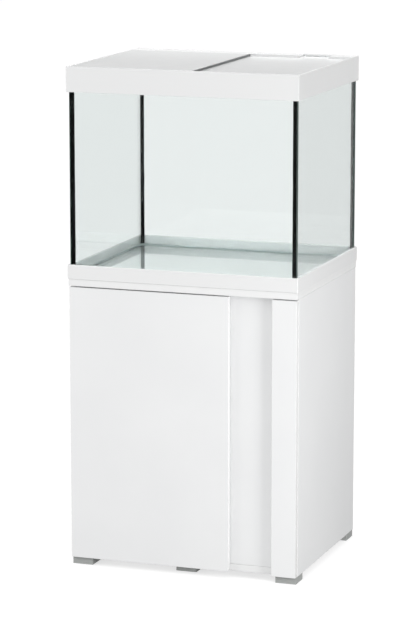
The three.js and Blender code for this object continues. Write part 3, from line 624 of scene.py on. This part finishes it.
def corner_silicone(node, side_x, side_y, full_bead, seed):
    """A tooled joint: a thin layer between two panes and a hollow fillet inside, with a hand-drawn wobble."""
    low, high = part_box(node)
    corner_x = low.x if side_x > 0 else high.x
    corner_y = low.y if side_y > 0 else high.y
    thickness = JOINT - 2 * BOND_GAP
    chance = random.Random(seed)
    phases = [chance.uniform(0, 6.28) for _ in range(3)]
    mesh = bmesh.new()
    rings = []
    steps = 60
    for step in range(steps + 1):
        share = step / steps
        wobble = sum(math.sin(phase + share * (9 + 14 * i)) for i, phase in enumerate(phases)) / 3
        bead = full_bead * (0.95 + 0.05 * wobble)
        fillet = [(GLASS + u, v) for u, v in fillet_outline(0, bead, thickness)]
        outline = [(0, 0)] + fillet + [(0, thickness)]
        z = low.z + share * (high.z - low.z)
        rings.append([mesh.verts.new((corner_x + side_x * u, corner_y + side_y * v, z)) for u, v in outline])
    count = len(rings[0])
    for below, above in zip(rings, rings[1:]):
        for i in range(count):
            mesh.faces.new((below[i], below[(i + 1) % count], above[(i + 1) % count], above[i]))
    mesh.faces.new(rings[0])
    mesh.faces.new(rings[-1])
    piece(f"{node}_finished", mesh, [SILICONE], BASE, "silicone", node, sharp=50)


def floor_silicone():
    low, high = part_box("floor_silicone")
    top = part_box("floor_pane")[1].z + BOND_GAP
    width = JOINT - 2 * BOND_GAP
    arc = fillet_outline(0, BEADS["floor"], BEADS["floor"])
    outline = [(0, low.z), (width, low.z), (width, top)] + [(u, top + v) for u, v in arc[:-1]]
    mesh = bmesh.new()
    add_ring(mesh, outline, low, high, 0.3 * MM, steps=2)
    piece("floor_silicone_finished", mesh, [CLEAR_SILICONE], BASE, "clear_silicone", "floor_silicone",
          sharp=50)


def base_frame():
    low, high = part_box("base_frame")
    shelf = low.z + FRAME_FLANGE
    outline = rounded([
        (0, low.z, 0.5 * MM), (FRAME_FLANGE_INNER, low.z, 0), (FRAME_FLANGE_INNER, shelf, 1 * MM),
        (FRAME_WALL, shelf, 0), (FRAME_WALL, high.z, 0.8 * MM), (0, high.z, 1.4 * MM)])
    mesh = bmesh.new()
    add_ring(mesh, outline, low, high, 2 * MM)
    piece("base_frame_finished", mesh, [WHITE_PLASTIC], BASE, "white_plastic", "base_frame")


def tank():
    for node, axis in (("front_pane", "Y"), ("back_pane", "Y"), ("left_pane", "X"), ("right_pane", "X"),
                       ("floor_pane", "Z")):
        pane(node, axis)
    corners = {"front_left": (1, 1), "front_right": (-1, 1), "back_left": (1, -1), "back_right": (-1, -1)}
    for seed, (corner, (side_x, side_y)) in enumerate(corners.items()):
        bead = BEADS["front" if side_y > 0 else "back"]
        corner_silicone(f"silicone_{corner}", side_x, side_y, bead, seed)
    floor_silicone()
    base_frame()


# ---- hood ---------------------------------------------------------------------------------------------

def hood_levels():
    """Heights and lines of the lid tracks, worked out from the lids that run in them."""
    upper_low, upper_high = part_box("lid_left")
    lower_low, lower_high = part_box("lid_right")
    return {
        "upper": upper_low.z - GAP, "lower": lower_low.z - GAP,
        "front": lower_low.y - LID_PLAY, "back": lower_high.y + LID_PLAY,
        "deck": upper_high.y + LID_PLAY,
    }


def hood_apron(low, high):
    outline = rounded([
        (0, low.z, 0.8 * MM), (HOOD_WALL, low.z, 0.8 * MM),
        (HOOD_WALL, high.z, 0.6 * MM), (0, high.z, 1.1 * MM)])
    mesh = bmesh.new()
    add_ring(mesh, outline, low, high, 2 * MM)
    piece("hood_apron", mesh, [WHITE_PLASTIC], BASE, "white_plastic", "hood_frame")


def hood_seat(low, high):
    glass_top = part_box("front_pane")[1].z + GAP
    outer = HOOD_WALL - 0.5 * MM
    outline = rounded([
        (outer, glass_top, 0), (SEAT_INNER, glass_top, 0.8 * MM),
        (SEAT_INNER, glass_top + SEAT_THICKNESS, 0.8 * MM), (outer, glass_top + SEAT_THICKNESS, 0)])
    mesh = bmesh.new()
    add_ring(mesh, outline, low, high, 2 * MM)
    piece("hood_glass_seat", mesh, [WHITE_PLASTIC], BASE, "white_plastic")


def hood_tracks(low, high):
    level = hood_levels()
    ends = (low.x + HOOD_WALL - 0.5 * MM, high.x - HOOD_WALL + 0.5 * MM)
    wall_front = low.y + HOOD_WALL - 0.5 * MM
    wall_back = high.y - HOOD_WALL + 0.5 * MM
    upper, lower = level["upper"], level["lower"]
    floor = lower - LEDGE
    front, back, deck = level["front"], level["back"], level["deck"]
    soft = 0.5 * MM
    front_outline = rounded([
        (wall_front, floor, 0), (front + LOWER_LEDGE_WIDTH, floor, soft),
        (front + LOWER_LEDGE_WIDTH, lower, soft), (front, lower, 0), (front, upper, soft),
        (wall_front, upper, 0)])
    mesh = bmesh.new()
    add_bar(mesh, front_outline, "X", *ends)
    piece("hood_front_track", mesh, [WHITE_PLASTIC], BASE, "white_plastic")
    top = high.z - 0.1 * MM
    back_outline = rounded([
        (back - LOWER_LEDGE_WIDTH, floor, soft), (deck + WEB, floor, soft), (deck + WEB, top - LEDGE, 0),
        (wall_back, top - LEDGE, 0), (wall_back, top, 0), (deck, top, 0.8 * MM), (deck, upper, 0),
        (back, upper, soft), (back, lower, 0), (back - LOWER_LEDGE_WIDTH, lower, soft)])
    mesh = bmesh.new()
    add_bar(mesh, back_outline, "X", *ends)
    rear = piece("hood_rear_deck", mesh, [WHITE_PLASTIC], BASE, "white_plastic")
    carve(rear, notch_cutters(back, high.z))


def notch_cutters(back, top):
    """The space of the two hose notches: round each cover plate, down to the seat below it."""
    mesh = bmesh.new()
    for side in ("left", "right"):
        low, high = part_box(f"hose_cover_{side}")
        start = (low.x - LID_PLAY, back - GAP, low.z - GAP)
        end = (high.x + LID_PLAY, high.y + LID_PLAY, top + MM)
        add_box(mesh, start, end)
    return mesh


def cover_seats(top):
    """Hangers and ledges under the deck that carry the short sides of each hose cover."""
    mesh = bmesh.new()
    for side in ("left", "right"):
        low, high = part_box(f"hose_cover_{side}")
        seat = low.z - GAP
        y0, y1 = low.y + LID_PLAY, high.y + LID_PLAY
        for edge, out in ((low.x - LID_PLAY, -1), (high.x + LID_PLAY, 1)):
            hanger = sorted((edge, edge + out * NOTCH_SEAT))
            add_box(mesh, (hanger[0], y0, seat - LEDGE), (hanger[1], y1, top - LEDGE + 0.3 * MM), 0.3 * MM, 2)
            ledge = sorted((edge + out * 0.5 * MM, edge - out * NOTCH_SEAT))
            add_box(mesh, (ledge[0], y0, seat - LEDGE), (ledge[1], y1, seat), 0.3 * MM, 2)
    piece("hood_cover_seats", mesh, [WHITE_PLASTIC], BASE, "white_plastic")


def soft_plate(node, look, body, slot, bevel):
    low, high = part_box(node)
    mesh = bmesh.new()
    add_box(mesh, low, high, bevel)
    piece(f"{node}_finished", mesh, [look], body, slot, node)


def lid_grip():
    """The dark grey edge strip of the upper lid, with fine grip lines along its side. Its dark colour is
    painted shade that stands in for the shadowed gap between the two lids.
    """
    low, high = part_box("lid_grip")
    groove = 0.25 * MM
    lines = 4
    pitch = (high.z - low.z - 1.2 * MM) / lines
    outline = [(low.x, low.z, 0.2 * MM), (high.x, low.z, 0.3 * MM)]
    for line in range(lines):
        z = low.z + 0.6 * MM + line * pitch
        outline += [(high.x, z + 0.25 * pitch, 0), (high.x - groove, z + 0.4 * pitch, 0)]
        outline += [(high.x - groove, z + 0.6 * pitch, 0), (high.x, z + 0.75 * pitch, 0)]
    outline += [(high.x, high.z, 0.5 * MM), (low.x, high.z, 0.2 * MM)]
    mesh = bmesh.new()
    shape = [(point.x, point.y) for point in rounded(outline)]
    add_bar(mesh, [(x, z) for x, z in shape], "Y", low.y, high.y)
    piece("lid_grip_finished", mesh, [GLAND_AND_SHADE_STRIP], UPPER_LID, "grey_plastic", "lid_grip", sharp=30)


def hood():
    low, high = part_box("hood_frame")
    hood_apron(low, high)
    hood_seat(low, high)
    hood_tracks(low, high)
    cover_seats(high.z)
    soft_plate("lid_left", LID_PLASTIC, UPPER_LID, "lid_plastic", 0.8 * MM)
    soft_plate("lid_right", LID_PLASTIC, LOWER_LID, "lid_plastic", 0.8 * MM)
    soft_plate("hose_cover_left", WHITE_PLASTIC, BASE, "white_plastic", 0.8 * MM)
    soft_plate("hose_cover_right", WHITE_PLASTIC, BASE, "white_plastic", 0.8 * MM)
    lid_grip()


# ---- lamp bar -----------------------------------------------------------------------------------------

def lamp_housing():
    """A drawn channel, open below, with low cooling ribs along its top."""
    low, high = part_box("lamp_housing")
    wall, rib_height, ribs = 2 * MM, 1.2 * MM, 9
    top = high.z - rib_height
    outline = [(low.y, low.z), (low.y + wall, low.z), (low.y + wall, top - wall), (high.y - wall, top - wall),
               (high.y - wall, low.z), (high.y, low.z), (high.y, top)]
    pitch = (high.y - low.y) / ribs
    for rib in reversed(range(ribs)):
        middle = low.y + (rib + 0.5) * pitch
        outline += [(middle + 1.2 * MM, top), (middle + 0.8 * MM, high.z)]
        outline += [(middle - 0.8 * MM, high.z), (middle - 1.2 * MM, top)]
    outline.append((low.y, top))
    mesh = bmesh.new()
    add_bar(mesh, outline, "X", low.x, high.x)
    piece("lamp_housing_finished", mesh, [LAMP_METAL], BASE, "lamp_aluminium", "lamp_housing", sharp=25)


def lamp_diffuser():
    """A frosted cover with fine prisms along its lower face."""
    low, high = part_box("lamp_diffuser")
    prisms, depth = 24, 0.7 * MM
    pitch = (high.y - low.y - 2 * MM) / prisms
    outline = [(high.y, low.z + depth), (high.y, high.z), (low.y, high.z), (low.y, low.z + depth)]
    for prism in range(prisms):
        start = low.y + MM + prism * pitch
        outline += [(start, low.z + depth), (start + pitch / 2, low.z)]
    outline.append((low.y + MM + prisms * pitch, low.z + depth))
    mesh = bmesh.new()
    add_bar(mesh, outline, "X", low.x, high.x)
    piece("lamp_diffuser_finished", mesh, [DIFFUSER], BASE, "diffuser", "lamp_diffuser", sharp=25)


def diodes():
    """Two rows of diodes under the circuit board."""
    low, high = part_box("diode_board")
    count, size, drop = 40, 2.8 * MM, 0.7 * MM
    pitch = (high.x - low.x - 20 * MM) / (count - 1)
    mesh = bmesh.new()
    for row_y in (low.y + 11 * MM, high.y - 11 * MM):
        for index in range(count):
            x = low.x + 10 * MM + index * pitch
            start = (x - size / 2, row_y - size / 2, low.z - drop)
            add_box(mesh, start, (x + size / 2, row_y + size / 2, low.z - 0.02 * MM), 0.25 * MM, 1)
    piece("diodes", mesh, [LENS], BASE, "circuit")


def lamp():
    lamp_housing()
    lamp_diffuser()
    diodes()
    for side in ("left", "right"):
        soft_plate(f"lamp_end_cap_{side}", WHITE_PLASTIC, BASE, "white_plastic", 2 * MM)
    dress("diode_board", MASK, 0.2 * MM)
    dress("cable_gland", GLAND_AND_SHADE_STRIP, 0.2 * MM)


def fittings():
    """Small metal and plastic fittings keep their CAD shape and get softened edges."""
    for row in ("bottom", "top"):
        for kind, bevel in (("cup", 0.2), ("pin", 0.2), ("arm", 0.3), ("plate", 0.4)):
            dress(f"hinge_{kind}_{row}", STEEL, bevel * MM)
        for end in ("lower", "upper"):
            dress(f"hinge_screw_{row}_{end}", STEEL, 0.15 * MM)
        dress(f"door_buffer_{row}", BUFFER, 0.3 * MM)
    for row in ("front", "back"):
        for side in ("left", "right"):
            dress(f"shelf_pin_{row}_{side}", STEEL, 0.2 * MM)
            dress(f"cam_{row}_{side}", STEEL, 0.2 * MM)


# ---- stage --------------------------------------------------------------------------------------------

def stage_floor():
    """A pale floor under and behind the object, lit to white. Scattered and mirrored rays don't see it."""
    turn = math.radians(CAMERA_AZIMUTH)
    right = Vector((math.cos(turn), math.sin(turn), 0))
    away = Vector((-math.sin(turn), math.cos(turn), 0))
    mesh = bmesh.new()
    mesh.faces.new([mesh.verts.new(across * right + along * away) for across, along in FLOOR_CORNERS])
    data = bpy.data.meshes.new("stage_floor")
    mesh.to_mesh(data)
    mesh.free()
    floor = bpy.data.objects.new("stage_floor", data)
    bpy.context.scene.collection.objects.link(floor)
    material = bpy.data.materials.new("stage_floor")
    material.use_nodes = True
    shader = material.node_tree.nodes["Principled BSDF"]
    shader.inputs["Base Color"].default_value = (FLOOR_COLOUR, FLOOR_COLOUR, FLOOR_COLOUR, 1)
    shader.inputs["Roughness"].default_value = 0.9
    shader.inputs["Specular IOR Level"].default_value = 0.0
    shader.inputs["Emission Color"].default_value = (1, 1, 1, 1)
    shader.inputs["Emission Strength"].default_value = FLOOR_GLOW
    data.materials.append(material)
    floor.visible_diffuse = False
    floor.visible_glossy = False


class World:
    """The studio's world shader, put together from small value nodes."""

    def __init__(self):
        world = bpy.data.worlds.new("studio")
        bpy.context.scene.world = world
        world.use_nodes = True
        self.nodes, self.links = world.node_tree.nodes, world.node_tree.links
        self.nodes.clear()
        self.direction = self.nodes.new("ShaderNodeTexCoord").outputs["Generated"]
        self.path = self.nodes.new("ShaderNodeLightPath").outputs

    def math(self, operation, first, second):
        node = self.nodes.new("ShaderNodeMath")
        node.operation = operation
        node.use_clamp = operation == "SUBTRACT"
        for socket, value in zip(node.inputs, (first, second)):
            if isinstance(value, (int, float)):
                socket.default_value = value
            else:
                self.links.new(value, socket)
        return node.outputs["Value"]

    def lobe(self, axis, start, end, low, high):
        """A value from low to high as the direction turns towards an axis."""
        turn = self.nodes.new("ShaderNodeVectorMath")
        turn.operation = "DOT_PRODUCT"
        turn.inputs[1].default_value = axis
        self.links.new(self.direction, turn.inputs[0])
        part = self.nodes.new("ShaderNodeMapRange")
        part.interpolation_type = "SMOOTHSTEP"
        for socket, number in (("From Min", start), ("From Max", end), ("To Min", low), ("To Max", high)):
            part.inputs[socket].default_value = number
        self.links.new(turn.outputs["Value"], part.inputs["Value"])
        return part.outputs["Result"]

    def choose(self, switch, when_off, when_on):
        """when_on where the switch is 1, when_off where it is 0."""
        return self.math("ADD", self.math("MULTIPLY", switch, when_on),
                         self.math("MULTIPLY", self.math("SUBTRACT", 1, switch), when_off))

    def finish(self, strength):
        background = self.nodes.new("ShaderNodeBackground")
        background.inputs["Color"].default_value = (1, 1, 1, 1)
        output = self.nodes.new("ShaderNodeOutputWorld")
        self.links.new(strength, background.inputs["Strength"])
        self.links.new(background.outputs["Background"], output.inputs["Surface"])


def world_light():
    """The studio all round. Seen straight or through glass it is white. Mirrored, it is bright behind the
    object and dark in front of it. As a light it has one strength for each side."""
    world = World()
    soft = WORLD_BASE
    for side, power in WORLD_SIDES.items():
        soft = world.math("ADD", soft, world.lobe(WORLD_AXES[side], 0.0, 0.8, 0.0, power))
    through = world.math("MULTIPLY", soft, THROUGH_GLASS)
    path = world.path
    inside = world.lobe(MIRRORED_AXIS, *MIRRORED_TURN, *MIRRORED_RANGE)
    outside = world.math("MULTIPLY", inside, MIRRORED_OUTSIDE)
    mirrored = world.choose(path["Is Transmission Ray"], outside, inside)
    was_diffuse = world.math("MINIMUM", path["Diffuse Depth"], 1)
    was_mirrored = world.math("MINIMUM", path["Glossy Depth"], 1)
    scattered = world.math("MAXIMUM", was_diffuse, was_mirrored)
    by_light = world.choose(path["Is Transmission Ray"], soft, through)
    by_path = world.choose(was_diffuse, mirrored, by_light)
    world.finish(world.choose(scattered, 1.0, by_path))


def area_light(name, place, target, size, watts):
    light = bpy.data.lights.new(name, "AREA")
    light.shape = "RECTANGLE"
    light.size, light.size_y = size
    light.energy = watts
    lamp_object = bpy.data.objects.new(name, light)
    lamp_object.location = place
    lamp_object.rotation_euler = (Vector(target) - Vector(place)).to_track_quat("-Z", "Y").to_euler()
    bpy.context.scene.collection.objects.link(lamp_object)


def camera():
    data = bpy.data.cameras.new("camera")
    data.lens = CAMERA_LENS
    data.sensor_width = CAMERA_SENSOR
    data.clip_start, data.clip_end = 0.1, 200
    made = bpy.data.objects.new("camera", data)
    made.location = CAMERA_PLACE
    made.rotation_euler = Euler((math.radians(90 - CAMERA_TILT), 0, math.radians(CAMERA_AZIMUTH)))
    bpy.context.scene.collection.objects.link(made)
    bpy.context.scene.camera = made


bpy.context.scene.view_settings.view_transform = "Standard"
camera()
world_light()
for name, (place, target, size, watts) in SOFT_BOXES.items():
    area_light(name, place, target, size, watts)
stage_floor()
cabinet()
for corner in ("front_left", "front_right", "back_left", "back_right", "front_middle"):
    foot(f"foot_{corner}")
tank()
hood()
lamp()
fittings()
